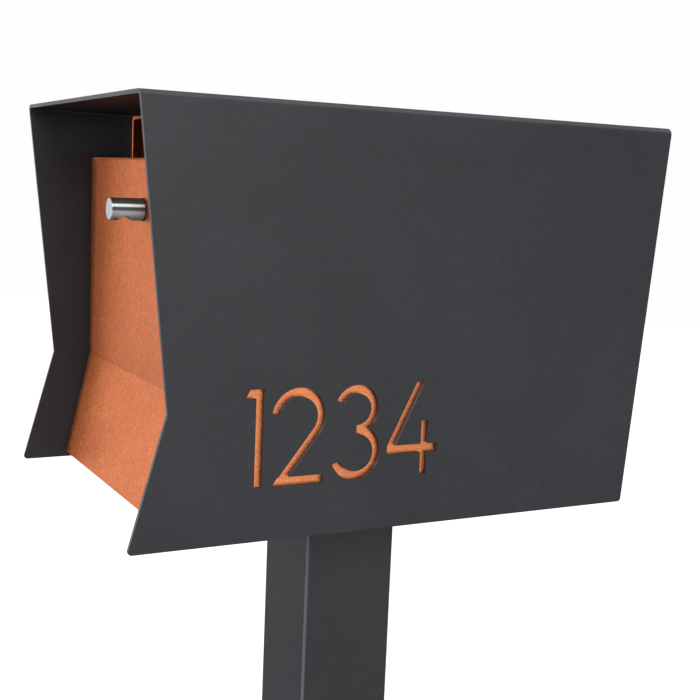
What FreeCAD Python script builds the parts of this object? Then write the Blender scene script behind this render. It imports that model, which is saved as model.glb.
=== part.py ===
import FreeCAD, Part
import math
import os

# A post-mounted letter box: a folded steel shell over a copper-coloured liner, with a
# drop-down front door, a letter slot above it, and a square steel post on a base plate.
# Millimetres. +Z is up, the door faces -Y, and the origin is on the ground under the middle
# of the box; the post stands a little behind it.

Vector = FreeCAD.Vector

# ---- driving dimensions -------------------------------------------------------------------

# outer shell
SHELL_WIDTH = 327.0
SHELL_HEIGHT = 336.0
TOP_LENGTH = 488.0          # front edge to back edge of the top sheet
SHELL_SHEET = 3.2
SHELL_BEND = 6.4            # outside radius of the two top bends
SHELL_CORNER = 3.0          # corner radius of the side panels
KINK_HEIGHT = 104.0         # height of the kink in the front edges above the lower edge
KINK_DEPTH = 25.0           # kink behind the top's front edge
TOE_REACH = 4.0             # lower front corner ahead of the top's front edge
BACK_RAKE = 28.5            # lower back corner ahead of the top's back edge
EDGE_BREAK = 0.4            # deburred edge of the cut sheet
SHELL_GROUND = 1067.0       # lower edge of the shell above the ground

# front door, on its front face
DOOR_SHEET = 2.0
DOOR_SIDE_GAP = 2.0         # door to shell, each side
DOOR_FLANGE = 15.0          # depth of the folded sides and top
DOOR_BEND = 3.2             # outside radius of the door's folds
DOOR_SETBACK = 33.0         # door's upper part behind the shell's kink
DOOR_BOTTOM_REACH = 22.0    # door's lower edge ahead of its upper part
DOOR_BELOW_FLOOR = 18.0     # door's lower edge below the top of the floor
DOOR_KINK_DROP = 1.5        # door's kink below the shell's kink
SLOT_HEIGHT = 45.4          # door's top below the shell's top, the letter slot

# liner
LINER_SHEET = 1.5
LINER_GAP = 1.5             # liner to shell, all round
LINER_BEND = 4.0
LINER_SETBACK = 20.0        # liner's front edge behind the door's front face
LINER_LIP = 6.5             # folded lip of the liner's front edge behind the door
SLOT_LIP = 3.0              # narrower lip round the letter slot
SLOT_DEPTH = 98.5           # liner's front edge at the letter slot
SLOT_NOTCH_DROP = 28.0      # the notch starts this far below the door's top
LINER_FOOT = 20.0           # lower flanges that carry the floor
BACK_LIP = 16.0             # back flanges that carry the back panel
STUD_FROM_WALL = 57.0       # the liner's studs in from its sides

# floor and back
FLOOR_SHEET = 2.0
FLOOR_TOP = 24.0            # floor above the shell's lower edge
FLOOR_BACK_LIP = 22.0
BACK_SHEET = 2.0
BACK_INSET = 12.0           # back panel ahead of the shell's back edge
BACK_GAP = 1.2              # back panel to shell

# hinge
HINGE_END_GAP = 13.3        # hinge's end to the door's side
HINGE_SEGMENTS = 11
HINGE_PIN_RADIUS = 1.5
HINGE_LEAF = 1.2
HINGE_SIDE_GAP = 0.5        # between neighbouring knuckles
HINGE_FIT = 0.05            # radial clearance on the pin
HINGE_BELOW = 5.0           # door sheet below the pin, which ends the door's travel
DOOR_LEAF_HEIGHT = 36.0
DOOR_STUD_HEIGHT = 28.0     # studs above the pin, along the door
RIVET_BELOW_EDGE = 4.5      # rivets below the fixed leaf's upper edge
FLOOR_LIP_BELOW = 2.0       # floor's front lip below the pin

# knob
KNOB_DIAMETER = 19.0
KNOB_LENGTH = 28.5
KNOB_DROP = 43.6            # knob's axis below the door's top
KNOB_WASHER = 1.0
FINGER_RADIUS = 6.5         # finger groove under the knob
FINGER_DEPTH = 4.0
FINGER_FROM_END = 12.9

# catches and bumpers
CATCH_DROP = 95.0           # catches' lower end below the door's top
CATCH_WIDTH = 14.0
CATCH_TALL = 38.0
CATCH_TAB = 24.0
STRIKE_SHEET = 1.2
MAGNET_GAP = 0.3
BUMPER_DIAMETER = 6.0
BUMPER_BELOW_KINK = 34.5
BUMPER_BELOW_TOP = 29.0

# house number, cut through the right side
DIGIT_HEIGHT = 77.0
DIGIT_STROKE = 7.1
DIGIT_GAP = 6.4
NUMBER_DEPTH = 86.5         # first digit behind the top's front edge
NUMBER_HEIGHT = 42.3        # foot of the digits above the lower edge

# post, plates and bolts
POST_WIDTH = 90.0
POST_WALL = 3.2
POST_CORNER = 3.8
POST_BEHIND = 5.0           # post's axis behind the middle of the box
TOP_PLATE_SIZE = 190.0
TOP_PLATE_THICK = 6.0
TOP_BOLT_SPACING = 150.0
BASE_PLATE_SIZE = 254.0
BASE_PLATE_THICK = 10.0
ANCHOR_SPACING = 200.0
ANCHOR_HOLE = 14.0
PLATE_CORNER = 10.0
WELD_LEG = 5.0

# ---- derived places -----------------------------------------------------------------------

TOE_SLOPE = math.atan2(KINK_DEPTH + TOE_REACH, KINK_HEIGHT)
TOE_ROUNDING = SHELL_CORNER * ((1 + math.sin(TOE_SLOPE)) / math.cos(TOE_SLOPE) - 1)
BOX_CENTRE = (TOP_LENGTH - TOE_REACH + TOE_ROUNDING) / 2      # the origin, behind the front edge
FRONT = -BOX_CENTRE
HALF_WIDTH = SHELL_WIDTH / 2
SHELL_INSIDE = HALF_WIDTH - SHELL_SHEET
SHELL_UNDERSIDE = SHELL_HEIGHT - SHELL_SHEET
LINER_HALF = SHELL_INSIDE - LINER_GAP
LINER_INSIDE = LINER_HALF - LINER_SHEET
LINER_TOP = SHELL_UNDERSIDE - LINER_GAP
DOOR_HALF = SHELL_INSIDE - DOOR_SIDE_GAP
DOOR_PLANE_DEPTH = KINK_DEPTH + DOOR_SETBACK
DOOR_BOTTOM_DEPTH = DOOR_PLANE_DEPTH - DOOR_BOTTOM_REACH
DOOR_BOTTOM_HEIGHT = FLOOR_TOP - DOOR_BELOW_FLOOR
DOOR_KINK_HEIGHT = KINK_HEIGHT - DOOR_KINK_DROP
DOOR_TOP_HEIGHT = SHELL_HEIGHT - SLOT_HEIGHT
DOOR_INNER_PLANE = DOOR_PLANE_DEPTH + DOOR_SHEET
KNOB_HEIGHT = DOOR_TOP_HEIGHT - KNOB_DROP
CATCH_HEIGHT = DOOR_TOP_HEIGHT - CATCH_DROP
BUMPER_HEIGHTS = (DOOR_KINK_HEIGHT - BUMPER_BELOW_KINK, DOOR_TOP_HEIGHT - BUMPER_BELOW_TOP)
FLOOR_UNDERSIDE = FLOOR_TOP - FLOOR_SHEET
HINGE_LENGTH = 2 * (DOOR_HALF - HINGE_END_GAP)
KNUCKLE_RADIUS = HINGE_PIN_RADIUS + HINGE_LEAF
KINK_ANGLE = math.atan2(DOOR_BOTTOM_REACH, DOOR_KINK_HEIGHT - DOOR_BOTTOM_HEIGHT)

# the door's front face from the side, bottom to top, as (depth, height)
DOOR_LINE = [
    (DOOR_BOTTOM_DEPTH, DOOR_BOTTOM_HEIGHT),
    (DOOR_PLANE_DEPTH, DOOR_KINK_HEIGHT),
    (DOOR_PLANE_DEPTH, DOOR_TOP_HEIGHT),
]
UP_DOOR = (math.sin(KINK_ANGLE), math.cos(KINK_ANGLE))       # up along the door's lower part
INTO_BOX = (math.cos(KINK_ANGLE), -math.sin(KINK_ANGLE))     # square to it, towards the back


# ---- shared shapes ------------------------------------------------------------------------

def at(x, depth, height):
    """A point in the box: across, behind the top's front edge, above the shell's lower edge."""
    return Vector(x, FRONT + depth, SHELL_GROUND + height)


def outline(points, place):
    """A closed wire through (u, v) or (u, v, radius) corners; place turns (u, v) into a point."""
    corners = []
    count = len(points)
    for index, point in enumerate(points):
        corner = Vector(point[0], point[1], 0)
        before = Vector(points[index - 1][0], points[index - 1][1], 0) - corner
        after = Vector(points[(index + 1) % count][0], points[(index + 1) % count][1], 0) - corner
        radius = point[2] if len(point) > 2 else 0.0
        if radius == 0.0:
            corners.append((corner, None, corner))
            continue
        before.normalize()
        after.normalize()
        half = before.getAngle(after) / 2
        middle = before + after
        middle.normalize()
        setback = radius / math.tan(half)
        centre = corner + middle * (radius / math.sin(half))
        crown = centre - middle * radius
        corners.append((corner + before * setback, crown, corner + after * setback))
    edges = []
    for index, (start, crown, end) in enumerate(corners):
        if crown is not None:
            through = [place(spot.x, spot.y) for spot in (start, crown, end)]
            edges.append(Part.Arc(*through).toShape())
        following = corners[(index + 1) % count][0]
        if (following - end).Length > 1e-6:
            side = Part.LineSegment(place(end.x, end.y), place(following.x, following.y))
            edges.append(side.toShape())
    return Part.Wire(Part.__sortEdges__(edges))


def side_prism(points, x_low, x_high):
    """A solid with a (depth, height) outline, from x_low to x_high."""
    wire = outline(points, lambda depth, height: at(x_low, depth, height))
    return Part.Face(wire).extrude(Vector(x_high - x_low, 0, 0))


def front_prism(points, depth_low, depth_high):
    """A solid with an (x, height) outline, from depth_low to depth_high."""
    wire = outline(points, lambda x, height: at(x, depth_low, height))
    return Part.Face(wire).extrude(Vector(0, depth_high - depth_low, 0))


def block(x_low, x_high, depth_low, depth_high, low, high):
    corner = at(x_low, depth_low, low)
    return Part.makeBox(x_high - x_low, depth_high - depth_low, high - low, corner)


def parallel(line, distance):
    """The open (depth, height) line moved back by distance, square to itself."""
    normals = []
    for start, end in zip(line, line[1:]):
        length = math.hypot(end[0] - start[0], end[1] - start[1])
        normals.append(((end[1] - start[1]) / length, -(end[0] - start[0]) / length))
    starts = [normals[0]] + normals
    ends = normals + [normals[-1]]
    moved = []
    for corner, first, second in zip(line, starts, ends):
        reach = distance / (1 + first[0] * second[0] + first[1] * second[1])
        depth = corner[0] + (first[0] + second[0]) * reach
        moved.append((depth, corner[1] + (first[1] + second[1]) * reach))
    return moved


def height_on(line, height):
    """Depth of a (depth, height) line at a height; its ends run on straight."""
    pairs = list(zip(line, line[1:]))
    start, end = next((pair for pair in pairs if height <= pair[1][1]), pairs[-1])
    return start[0] + (end[0] - start[0]) * (height - start[1]) / (end[1] - start[1])


def back_edge(inset):
    """The shell's back edge moved forward by inset, as a (depth, height) line."""
    return [(TOP_LENGTH - BACK_RAKE - inset, 0.0), (TOP_LENGTH - inset, SHELL_HEIGHT)]


def group(solids):
    """Separate solids of one kind, kept apart in one node."""
    return solids[0] if len(solids) == 1 else Part.makeCompound(solids)


def turned(shape, point, direction):
    """Moves a shape modelled along +Z at the origin to a point, pointing along direction."""
    shape.Placement = FreeCAD.Placement(point, FreeCAD.Rotation(Vector(0, 0, 1), direction))
    return shape


def hex_prism(across_flats, height):
    """A hexagon with both ends' corners turned off, from the origin up +Z."""
    radius = across_flats / 2 / math.cos(math.pi / 6)
    turns = [k * math.pi / 3 for k in range(7)]
    corners = [Vector(radius * math.cos(turn), radius * math.sin(turn), 0) for turn in turns]
    prism = Part.Face(Part.makePolygon(corners)).extrude(Vector(0, 0, height))
    chamfer = radius - across_flats / 2
    turned_off = Part.makeCylinder(radius, height)
    turned_off = turned_off.makeChamfer(chamfer * 0.7, [edge for edge in turned_off.Edges if edge.isClosed()])
    return prism.common(turned_off)


# across flats and height of each nut; width and height of each screw head
NUT_M8 = (13.0, 6.5)
NUT_M5 = (8.0, 4.7)
NUT_M4 = (7.0, 3.2)
NUT_M3 = (5.5, 2.4)
BOLT_HEAD_M8 = (13.0, 5.3)
PAN_HEAD_M5 = (10.0, 3.0)
PAN_HEAD_M4 = (8.0, 2.4)
PAN_HEAD_M3 = (5.4, 2.0)


def nut(size, shank, point, direction):
    """A nut that stands on the point, along direction."""
    across_flats, height = size
    body = hex_prism(across_flats, height).cut(Part.makeCylinder(shank / 2, height))
    return turned(body, point, direction)


def hex_bolt(size, shank, length, point, direction):
    """Head above the point along direction, shank below it."""
    bar = Part.makeCylinder(shank / 2, length, Vector(0, 0, -length))
    return turned(hex_prism(*size).fuse(bar).removeSplitter(), point, direction)


def pan_screw(size, shank, length, point, direction):
    """A domed head with a hexagon socket above the point, and its shank below it."""
    head_width, head = size
    dome = Part.makeCylinder(head_width / 2, head)
    rim = [edge for edge in dome.Edges if edge.isClosed() and edge.BoundBox.ZMin > head / 2]
    dome = dome.makeFillet(head * 0.6, rim)
    socket = hex_prism(head_width * 0.38, head).translated(Vector(0, 0, head * 0.45))
    body = dome.cut(socket).fuse(Part.makeCylinder(shank / 2, length, Vector(0, 0, -length)))
    return turned(body.removeSplitter(), point, direction)


def washer(outside, hole, thick, point, direction):
    body = Part.makeCylinder(outside / 2, thick).cut(Part.makeCylinder(hole / 2, thick))
    return turned(body, point, direction)


def hole(diameter, point, direction, length):
    """A cutting cylinder centred on a point."""
    return Part.makeCylinder(diameter / 2, length, point - direction * (length / 2), direction)


RIGHTWARD = Vector(1, 0, 0)
BACKWARD = Vector(0, 1, 0)
UPWARD = Vector(0, 0, 1)
INTO_BOX_3D = Vector(0, *INTO_BOX)
BACK_PANEL_OUT = Vector(0, SHELL_HEIGHT, -BACK_RAKE).normalize()

# ---- places of the fasteners --------------------------------------------------------------

def both_sides(x, seconds):
    """(x, second) pairs on the left and on the right."""
    return [(side, second) for side in (-x, x) for second in seconds]


STUD_SHANK = 5.0
STUD_PLACES = both_sides(LINER_INSIDE - STUD_FROM_WALL, (SLOT_DEPTH + 60.0, TOP_LENGTH - 100.0))

FLOOR_SCREW_SHANK = 4.0
FLOOR_SCREW_X = LINER_INSIDE - LINER_FOOT / 2
FLOOR_SCREW_PLACES = both_sides(FLOOR_SCREW_X, (SLOT_DEPTH + 12.0, BOX_CENTRE, TOP_LENGTH - 97.0))

BACK_SCREW_SHANK = 4.0
BACK_SCREW_X = LINER_INSIDE - BACK_LIP / 2
BACK_SCREW_LOW = FLOOR_TOP + FLOOR_BACK_LIP / 2 + 2.0
BACK_SCREW_HIGH = LINER_TOP - LINER_SHEET - BACK_LIP / 2
BACK_SCREW_PLACES = both_sides(BACK_SCREW_X, (60.0, SHELL_HEIGHT / 2 + 10.0, SHELL_HEIGHT - 40.0))
BACK_SCREW_PLACES += [(0.0, BACK_SCREW_LOW), (0.0, BACK_SCREW_HIGH)]

HINGE_FASTENER_X = [HINGE_LENGTH * step / 4.8 for step in (-2, -1, 0, 1, 2)]
HINGE_STUD_SHANK = 4.0
RIVET_SHANK = 3.2

BOLT_SHANK = 8.0
BOLT_WASHER = 1.6
BOLT_X = TOP_BOLT_SPACING / 2
POST_DEPTH = BOX_CENTRE + POST_BEHIND
BOLT_PLACES = both_sides(BOLT_X, (POST_DEPTH - BOLT_X, POST_DEPTH + BOLT_X))

# the hinge pin's centre, behind the door's sheet and above its lower edge
PIN_INWARD = DOOR_SHEET + KNUCKLE_RADIUS
PIN_DEPTH = DOOR_BOTTOM_DEPTH + UP_DOOR[0] * HINGE_BELOW + INTO_BOX[0] * PIN_INWARD
PIN_HEIGHT = DOOR_BOTTOM_HEIGHT + UP_DOOR[1] * HINGE_BELOW + INTO_BOX[1] * PIN_INWARD
FIXED_LEAF_HEIGHT = (FLOOR_UNDERSIDE - PIN_HEIGHT) / UP_DOOR[1] - 0.4


def by_pin(into_box, up_door):
    """(depth, height) of a point given from the pin, square to and along the door's lower part."""
    depth = PIN_DEPTH + INTO_BOX[0] * into_box + UP_DOOR[0] * up_door
    height = PIN_HEIGHT + INTO_BOX[1] * into_box + UP_DOOR[1] * up_door
    return depth, height


# ---- house number -------------------------------------------------------------------------

def number_bar(points):
    """A straight-sided stroke through the right side; points are (across, up) from the foot."""
    placed = [(NUMBER_DEPTH + across, NUMBER_HEIGHT + up) for across, up in points]
    return side_prism(placed, SHELL_INSIDE - 1.0, HALF_WIDTH + 1.0)


def number_arc(across, up, radius, start, end):
    """A curved stroke about (across, up), from start to end in degrees, anticlockwise."""
    def spot(distance, degrees):
        turn = math.radians(degrees)
        depth = NUMBER_DEPTH + across + distance * math.cos(turn)
        return at(SHELL_INSIDE - 1.0, depth, NUMBER_HEIGHT + up + distance * math.sin(turn))

    outside = radius + DIGIT_STROKE / 2
    inside = radius - DIGIT_STROKE / 2
    middle = (start + end) / 2
    edges = [
        Part.Arc(spot(outside, start), spot(outside, middle), spot(outside, end)).toShape(),
        Part.LineSegment(spot(outside, end), spot(inside, end)).toShape(),
        Part.Arc(spot(inside, end), spot(inside, middle), spot(inside, start)).toShape(),
        Part.LineSegment(spot(inside, start), spot(outside, start)).toShape(),
    ]
    return Part.Face(Part.Wire(edges)).extrude(Vector(SHELL_SHEET + 2.0, 0, 0))


def digit_one(left):
    width = DIGIT_STROKE * 2.25
    foot = left + width - DIGIT_STROKE
    points = [
        (foot, 0), (left + width, 0), (left + width, DIGIT_HEIGHT),
        (left + DIGIT_STROKE * 0.55, DIGIT_HEIGHT), (left, DIGIT_HEIGHT - DIGIT_STROKE),
        (foot, DIGIT_HEIGHT - DIGIT_STROKE),
    ]
    return number_bar(points), width


def digit_two(left):
    width = DIGIT_HEIGHT * 0.6
    radius = (width - DIGIT_STROKE) / 2
    centre = (left + width / 2, DIGIT_HEIGHT - width / 2)
    leaves = -38.0
    turn = math.radians(leaves)
    start = (centre[0] + radius * math.cos(turn), centre[1] + radius * math.sin(turn))
    direction = (math.sin(turn), -math.cos(turn))
    reach = start[1] / -direction[1]
    end = (start[0] + direction[0] * reach, 0.0)
    half = DIGIT_STROKE / 2
    slant = half / -direction[1]
    bar = number_bar([
        (start[0] + half * direction[1], start[1] - half * direction[0]),
        (end[0] - slant, 0.0), (end[0] + slant, 0.0),
        (start[0] - half * direction[1], start[1] + half * direction[0]),
    ])
    bowl = number_arc(centre[0], centre[1], radius, leaves, 172.0)
    foot = number_bar([
        (end[0] - slant, 0), (left + width, 0), (left + width, DIGIT_STROKE), (end[0], DIGIT_STROKE),
    ])
    return bowl.fuse([bar, foot]), width


def digit_three(left):
    lower = (DIGIT_HEIGHT - DIGIT_STROKE) * 0.268
    upper = (DIGIT_HEIGHT - DIGIT_STROKE) / 2 - lower
    width = 2 * lower + DIGIT_STROKE
    across = left + width / 2 - 1.0
    bowl = number_arc(across, DIGIT_STROKE / 2 + lower, lower, -158.0, 90.0)
    top = number_arc(across, DIGIT_HEIGHT - DIGIT_STROKE / 2 - upper, upper, -90.0, 156.0)
    return bowl.fuse(top), width - 1.0


def digit_four(left):
    """An open four: its upright stops short of the slope, so nothing inside it falls out."""
    width = DIGIT_HEIGHT * 0.62
    stem = left + width * 0.66
    cross = DIGIT_HEIGHT * 0.24
    apex = left + width * 0.70
    upright = number_bar([
        (stem, 0), (stem + DIGIT_STROKE, 0),
        (stem + DIGIT_STROKE, DIGIT_HEIGHT * 0.58), (stem, DIGIT_HEIGHT * 0.58),
    ])
    bar = number_bar([
        (left, cross), (left + width, cross),
        (left + width, cross + DIGIT_STROKE), (left, cross + DIGIT_STROKE),
    ])
    slope = number_bar([
        (left, cross + DIGIT_STROKE), (left, cross), (left + DIGIT_STROKE * 1.1, cross + DIGIT_STROKE),
        (apex, DIGIT_HEIGHT), (apex - DIGIT_STROKE * 1.1, DIGIT_HEIGHT),
    ])
    return upright.fuse([bar, slope]), width


def house_number():
    """The cutting shape for the four digits, side by side."""
    shapes = []
    left = 0.0
    for digit in (digit_one, digit_two, digit_three, digit_four):
        shape, width = digit(left)
        shapes.append(shape)
        left += width + DIGIT_GAP
    return Part.makeCompound(shapes)


# ---- shell --------------------------------------------------------------------------------

def arch(half_width, top, radius, low, depth_low, depth_high):
    """A solid block with rounded top corners, running front to back."""
    points = [(-half_width, low), (half_width, low), (half_width, top, radius), (-half_width, top, radius)]
    return front_prism(points, depth_low, depth_high)


def outer_shell():
    outside = arch(HALF_WIDTH, SHELL_HEIGHT, SHELL_BEND, 0.0, -TOE_REACH, TOP_LENGTH)
    inner_bend = SHELL_BEND - SHELL_SHEET
    inside = arch(SHELL_INSIDE, SHELL_UNDERSIDE, inner_bend, -1.0, -TOE_REACH - 1, TOP_LENGTH + 1)
    side = side_prism([
        (-TOE_REACH, 0.0, SHELL_CORNER), (TOP_LENGTH - BACK_RAKE, 0.0, SHELL_CORNER),
        (TOP_LENGTH, SHELL_HEIGHT), (0.0, SHELL_HEIGHT), (KINK_DEPTH, KINK_HEIGHT, SHELL_CORNER),
    ], -HALF_WIDTH, HALF_WIDTH)
    folded = outside.cut(inside).common(side)
    rim = [edge for edge in folded.Edges if on_outer_rim(edge)]
    folded = folded.makeFillet(EDGE_BREAK, rim)
    return folded.cut(house_number())


def on_outer_rim(edge):
    """True for the cut edges of the sheet on the shell's outside, front, back and below."""
    box = edge.BoundBox
    near = 1e-3
    upper_half = box.ZMin > SHELL_GROUND + SHELL_HEIGHT / 2
    flat_side = abs(abs(box.XMin) - HALF_WIDTH) < near and box.XLength < near
    flat_top = abs(box.ZMin - SHELL_GROUND - SHELL_HEIGHT) < near and box.YLength < near
    along_bend = box.XLength < near and box.ZLength < near and upper_half
    as_wide = SHELL_BEND * 0.9 < box.XLength < SHELL_BEND * 1.1
    round_bend = as_wide and box.ZLength > SHELL_BEND * 0.9
    return (flat_side or flat_top or round_bend) and not along_bend


def shell_studs():
    """Studs welded under the top sheet; the liner hangs on them."""
    length = LINER_GAP + LINER_SHEET + 8.0
    studs = []
    for x, depth in STUD_PLACES:
        point = at(x, depth, SHELL_UNDERSIDE - length)
        studs.append(Part.makeCylinder(STUD_SHANK / 2, length, point))
    return group(studs)


def stud_spacers():
    outside = 12.0
    return group([washer(outside, STUD_SHANK + 0.4, LINER_GAP, at(x, depth, LINER_TOP), UPWARD)
                  for x, depth in STUD_PLACES])


def stud_nuts():
    low = LINER_TOP - LINER_SHEET - NUT_M5[1]
    return group([nut(NUT_M5, STUD_SHANK, at(x, depth, low), UPWARD) for x, depth in STUD_PLACES])


# ---- liner, floor and back ----------------------------------------------------------------

def liner_front():
    """The liner's front edge from the side, bottom to top, stepped back at the letter slot."""
    line = parallel(DOOR_LINE, LINER_SETBACK)
    low = (height_on(line, FLOOR_UNDERSIDE - LINER_SHEET), FLOOR_UNDERSIDE - LINER_SHEET)
    notch = DOOR_TOP_HEIGHT - SLOT_NOTCH_DROP
    return [low, line[1], (line[2][0], notch), (SLOT_DEPTH, notch + 6.0), (SLOT_DEPTH, LINER_TOP)]


def back_strip(ahead, thick, x_low, x_high):
    """A sheet parallel to the shell's back edge, its rear face ahead of that edge by ahead."""
    rear = back_edge(ahead)
    front = back_edge(ahead + thick)
    return side_prism([rear[0], rear[1], front[1], front[0]], x_low, x_high)


def liner():
    low = FLOOR_UNDERSIDE - LINER_SHEET
    line = liner_front()
    rear = back_edge(BACK_INSET + BACK_SHEET)
    inner_top = LINER_TOP - LINER_SHEET
    inner_bend = LINER_BEND - LINER_SHEET
    envelope = arch(LINER_HALF, LINER_TOP, LINER_BEND, low, 0.0, TOP_LENGTH)
    hollow = arch(LINER_INSIDE, inner_top, inner_bend, low - 1, -1.0, TOP_LENGTH + 1)
    whole_side = line + [(height_on(rear, LINER_TOP), LINER_TOP), (height_on(rear, low), low)]
    side = side_prism(whole_side, -LINER_HALF, LINER_HALF)
    shell = envelope.cut(hollow).common(side)

    # lips round the front edge and flanges round the back, both folded inwards
    lip_line = parallel(line, LINER_SHEET)
    lip = side_prism(line + lip_line[::-1], -LINER_HALF, LINER_HALF).common(envelope)
    lip_window = arch(LINER_HALF - LINER_LIP, LINER_TOP - LINER_LIP, 0.5, low - 1, 0.0, TOP_LENGTH)
    slot_window = arch(LINER_HALF - SLOT_LIP, LINER_TOP - SLOT_LIP, 0.5, line[3][1], 0.0, TOP_LENGTH)
    tab_top = CATCH_HEIGHT + CATCH_TALL
    tabs = block(LINER_HALF - CATCH_TAB, LINER_HALF, 0.0, TOP_LENGTH, CATCH_HEIGHT, tab_top)
    tabs = tabs.fuse(tabs.mirror(at(0, 0, 0), RIGHTWARD))
    lip = lip.cut(lip_window.cut(tabs)).cut(slot_window)
    back = back_strip(BACK_INSET + BACK_SHEET, LINER_SHEET, -LINER_HALF, LINER_HALF)
    window = arch(LINER_INSIDE - BACK_LIP, inner_top - BACK_LIP, 2.0, 0.0, 0.0, TOP_LENGTH)
    back = back.common(envelope).cut(window)

    # feet under the floor, clear of the sweep of the door's folded sides
    foot_front = line[0][0] + 4.0
    inner = LINER_INSIDE - LINER_FOOT
    foot = block(inner, LINER_HALF, foot_front, height_on(rear, low), low, FLOOR_UNDERSIDE)
    feet = [foot, foot.mirror(at(0, 0, 0), RIGHTWARD)]
    body = shell.fuse([lip, back] + feet).common(side)

    stud_hole = STUD_SHANK + 0.5
    floor_hole = FLOOR_SCREW_SHANK + 0.4
    holes = [hole(stud_hole, at(x, depth, LINER_TOP), UPWARD, 8.0) for x, depth in STUD_PLACES]
    holes += [hole(floor_hole, at(x, depth, low), UPWARD, 6.0) for x, depth in FLOOR_SCREW_PLACES]
    holes += [back_hole(x, height) for x, height in BACK_SCREW_PLACES]
    holes += [catch_hole(x, height) for x, height in CATCH_SCREW_PLACES]
    return body.cut(Part.makeCompound(holes)).removeSplitter()


def back_point(height, ahead):
    """Depth at a height in a plane parallel to the back edge."""
    return height_on(back_edge(ahead), height)


def on_back_screw(x, height, ahead):
    """A point on a back screw's axis, in the plane that lies ahead of the back edge by ahead."""
    seat = at(x, back_point(height, BACK_INSET), height)
    return seat - BACK_PANEL_OUT * ((ahead - BACK_INSET) * BACK_PANEL_OUT.y)


def back_hole(x, height):
    point = on_back_screw(x, height, BACK_INSET + BACK_SHEET)
    return hole(BACK_SCREW_SHANK + 0.4, point, BACK_PANEL_OUT, 16.0)


def back_panel():
    half = SHELL_INSIDE - BACK_GAP
    lower_edge = 4.0
    panel = back_strip(BACK_INSET, BACK_SHEET, -half, half)
    limit = arch(half, SHELL_UNDERSIDE - BACK_GAP, SHELL_BEND, lower_edge, 0.0, TOP_LENGTH)
    holes = [back_hole(x, height) for x, height in BACK_SCREW_PLACES]
    return panel.common(limit).cut(Part.makeCompound(holes))


def back_screws():
    screws = []
    for x, height in BACK_SCREW_PLACES:
        point = on_back_screw(x, height, BACK_INSET)
        screws.append(pan_screw(PAN_HEAD_M4, BACK_SCREW_SHANK, 9.0, point, BACK_PANEL_OUT))
    return group(screws)


def back_nuts():
    nuts = []
    for x, height in BACK_SCREW_PLACES:
        on_floor_lip = height == BACK_SCREW_LOW
        sheets = BACK_INSET + BACK_SHEET + (FLOOR_SHEET if on_floor_lip else LINER_SHEET)
        point = on_back_screw(x, height, sheets) - BACK_PANEL_OUT * NUT_M4[1]
        nuts.append(nut(NUT_M4, BACK_SCREW_SHANK, point, BACK_PANEL_OUT))
    return group(nuts)


def floor_apron(step):
    """The narrow front of the floor, folded down behind the hinge; step is where it widens."""
    bend = 2.0
    half = HINGE_LENGTH / 2 + 3.0
    low = by_pin(KNUCKLE_RADIUS, -FLOOR_LIP_BELOW)
    reach = (FLOOR_TOP - PIN_HEIGHT - INTO_BOX[1] * KNUCKLE_RADIUS) / UP_DOOR[1]
    fold = by_pin(KNUCKLE_RADIUS, reach)
    inner = parallel([low, fold], FLOOR_SHEET)
    inner_fold = (height_on(inner, FLOOR_UNDERSIDE), FLOOR_UNDERSIDE, bend)
    return side_prism([
        low, (*fold, bend + FLOOR_SHEET), (step + 1, FLOOR_TOP), (step + 1, FLOOR_UNDERSIDE),
        inner_fold, inner[0],
    ], -half, half)


def floor_pan():
    """The floor: its front lip folds down to the hinge, its back lip up to the back panel."""
    clear = 0.2
    wide = LINER_INSIDE - clear
    step = liner_front()[0][0] + 8.0
    panel_front = BACK_INSET + BACK_SHEET
    rear_depth = height_on(back_edge(panel_front), FLOOR_UNDERSIDE)
    sheet = block(-wide, wide, step, rear_depth + 5, FLOOR_UNDERSIDE, FLOOR_TOP)
    lip_half = LINER_INSIDE - BACK_LIP - 2.0
    lip_top = FLOOR_TOP + FLOOR_BACK_LIP
    back_lip = back_strip(panel_front, FLOOR_SHEET, -lip_half, lip_half)
    back_lip = back_lip.common(block(-lip_half, lip_half, 0, TOP_LENGTH, FLOOR_UNDERSIDE, lip_top))
    ahead_of_panel = back_strip(panel_front, TOP_LENGTH, -wide, wide)
    flange_front = panel_front + LINER_SHEET + clear
    corner = back_strip(0.0, flange_front, lip_half, wide + 1)
    corners = corner.fuse(corner.mirror(at(0, 0, 0), RIGHTWARD))
    pan = floor_apron(step).fuse([sheet, back_lip]).common(ahead_of_panel).cut(corners)
    screw_hole = FLOOR_SCREW_SHANK + 0.4
    bolt_hole = BOLT_SHANK + 0.6
    holes = [hole(screw_hole, at(x, depth, FLOOR_TOP), UPWARD, 8.0) for x, depth in FLOOR_SCREW_PLACES]
    holes += [hole(bolt_hole, at(x, depth, FLOOR_TOP), UPWARD, 8.0) for x, depth in BOLT_PLACES]
    holes += [hole(RIVET_SHANK + 0.1, rivet_point(x), INTO_BOX_3D, 10.0) for x in HINGE_FASTENER_X]
    holes.append(back_hole(0.0, BACK_SCREW_LOW))
    return pan.cut(Part.makeCompound(holes)).removeSplitter()


def floor_screws():
    length = 9.0
    return group([pan_screw(PAN_HEAD_M4, FLOOR_SCREW_SHANK, length, at(x, depth, FLOOR_TOP), UPWARD)
                  for x, depth in FLOOR_SCREW_PLACES])


def floor_nuts():
    low = FLOOR_UNDERSIDE - LINER_SHEET - NUT_M4[1]
    return group([nut(NUT_M4, FLOOR_SCREW_SHANK, at(x, depth, low), UPWARD)
                  for x, depth in FLOOR_SCREW_PLACES])


# ---- door ---------------------------------------------------------------------------------

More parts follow.
